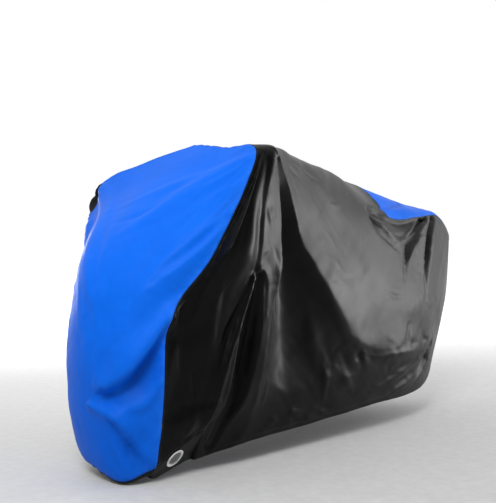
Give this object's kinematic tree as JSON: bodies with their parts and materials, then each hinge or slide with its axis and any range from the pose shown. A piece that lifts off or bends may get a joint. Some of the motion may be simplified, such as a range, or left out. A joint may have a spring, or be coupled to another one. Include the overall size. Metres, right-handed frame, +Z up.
{
  "type": "motorcycle cover",
  "caption": "Fitted cloth cover as it hangs over a motorcycle, hollow and open below, with blue front and tail panels, black sides and lock eyelets in a lower strip.",
  "frame": {"origin": "the point on the underside of the cloth, under the ridge seam over the tank, where the cover is carried", "axes": "+X from the nose to the tail, +Y to the right-hand side, +Z up; the ground lies 1.079 m below the origin"},
  "size_m": [2.2284, 0.8788, 1.145],
  "materials": {
    "blue_cloth": "coated plain-weave polyester with a soft sheen",
    "black_cloth": "coated plain-weave polyester with a satin sheen",
    "eyelet_ring": "smooth and pale"
  },
  "bodies": {
    "root": {"front_panel": "blue_cloth", "side_panel_left": "black_cloth", "side_panel_right": "black_cloth", "rear_panel": "blue_cloth", "front_hem_strip": "black_cloth", "eyelet_left": "eyelet_ring", "eyelet_right": "eyelet_ring"}
  },
  "joints": []
}
